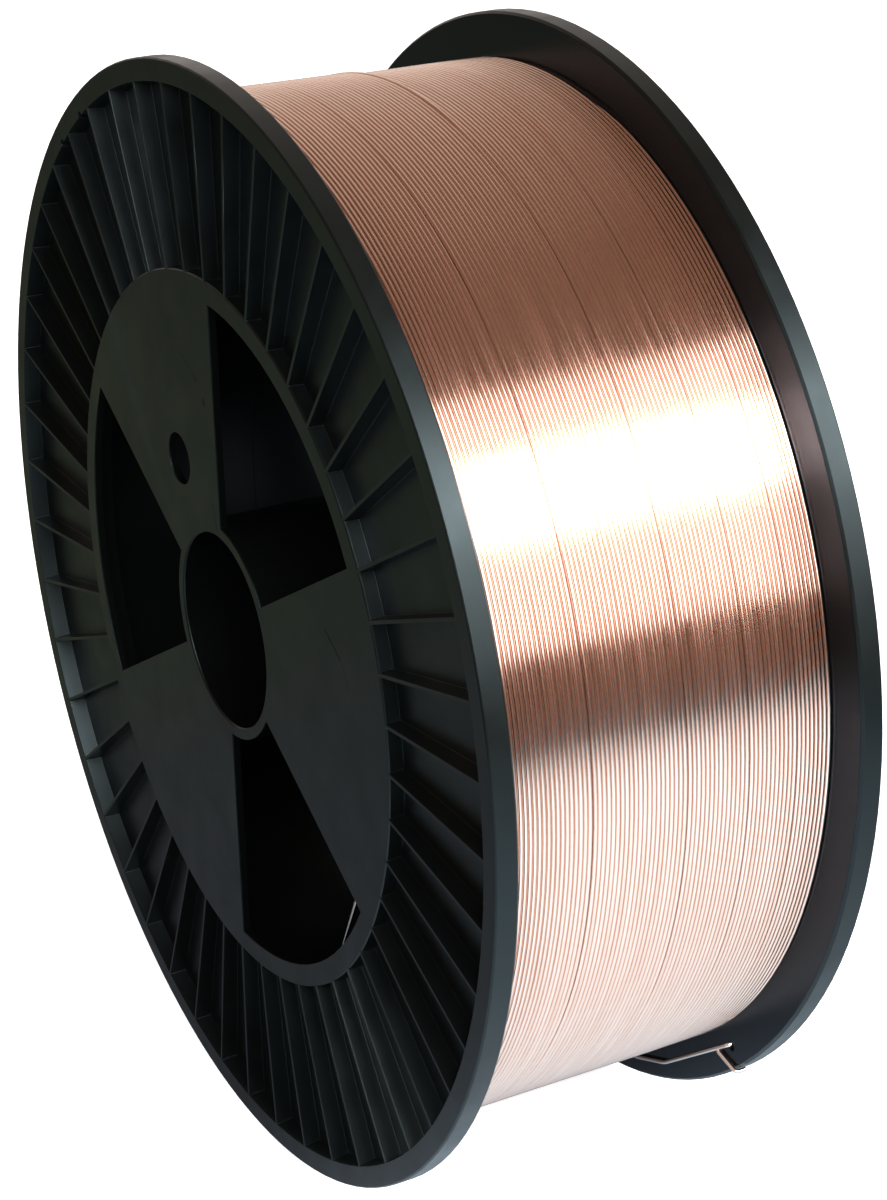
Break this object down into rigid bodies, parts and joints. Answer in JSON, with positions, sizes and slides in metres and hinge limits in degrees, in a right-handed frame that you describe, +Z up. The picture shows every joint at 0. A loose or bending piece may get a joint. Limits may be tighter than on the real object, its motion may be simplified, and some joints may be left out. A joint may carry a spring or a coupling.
{
  "type": "mig welding wire spool",
  "caption": "Plastic spool with ribbed flanges and a through bore, fully wound with round copper-coated welding wire.",
  "frame": {"origin": "on the spool axis at mid width, the centre of the hub bore", "axes": "+Y along the spool axis from the near flange to the far one, +Z up with the spool standing on its rims"},
  "size_m": [0.298, 0.1044, 0.298],
  "materials": {
    "moulded_plastic": "black moulded polystyrene with a satin face",
    "wound_wire": "bright copper-coated wire in even turns",
    "loose_wire": "bright copper-coated wire"
  },
  "bodies": {
    "root": {"spool_half_near": "moulded_plastic", "spool_half_far": "moulded_plastic", "wire_winding": "wound_wire", "wire_start": "loose_wire", "wire_tail": "loose_wire"}
  },
  "joints": []
}
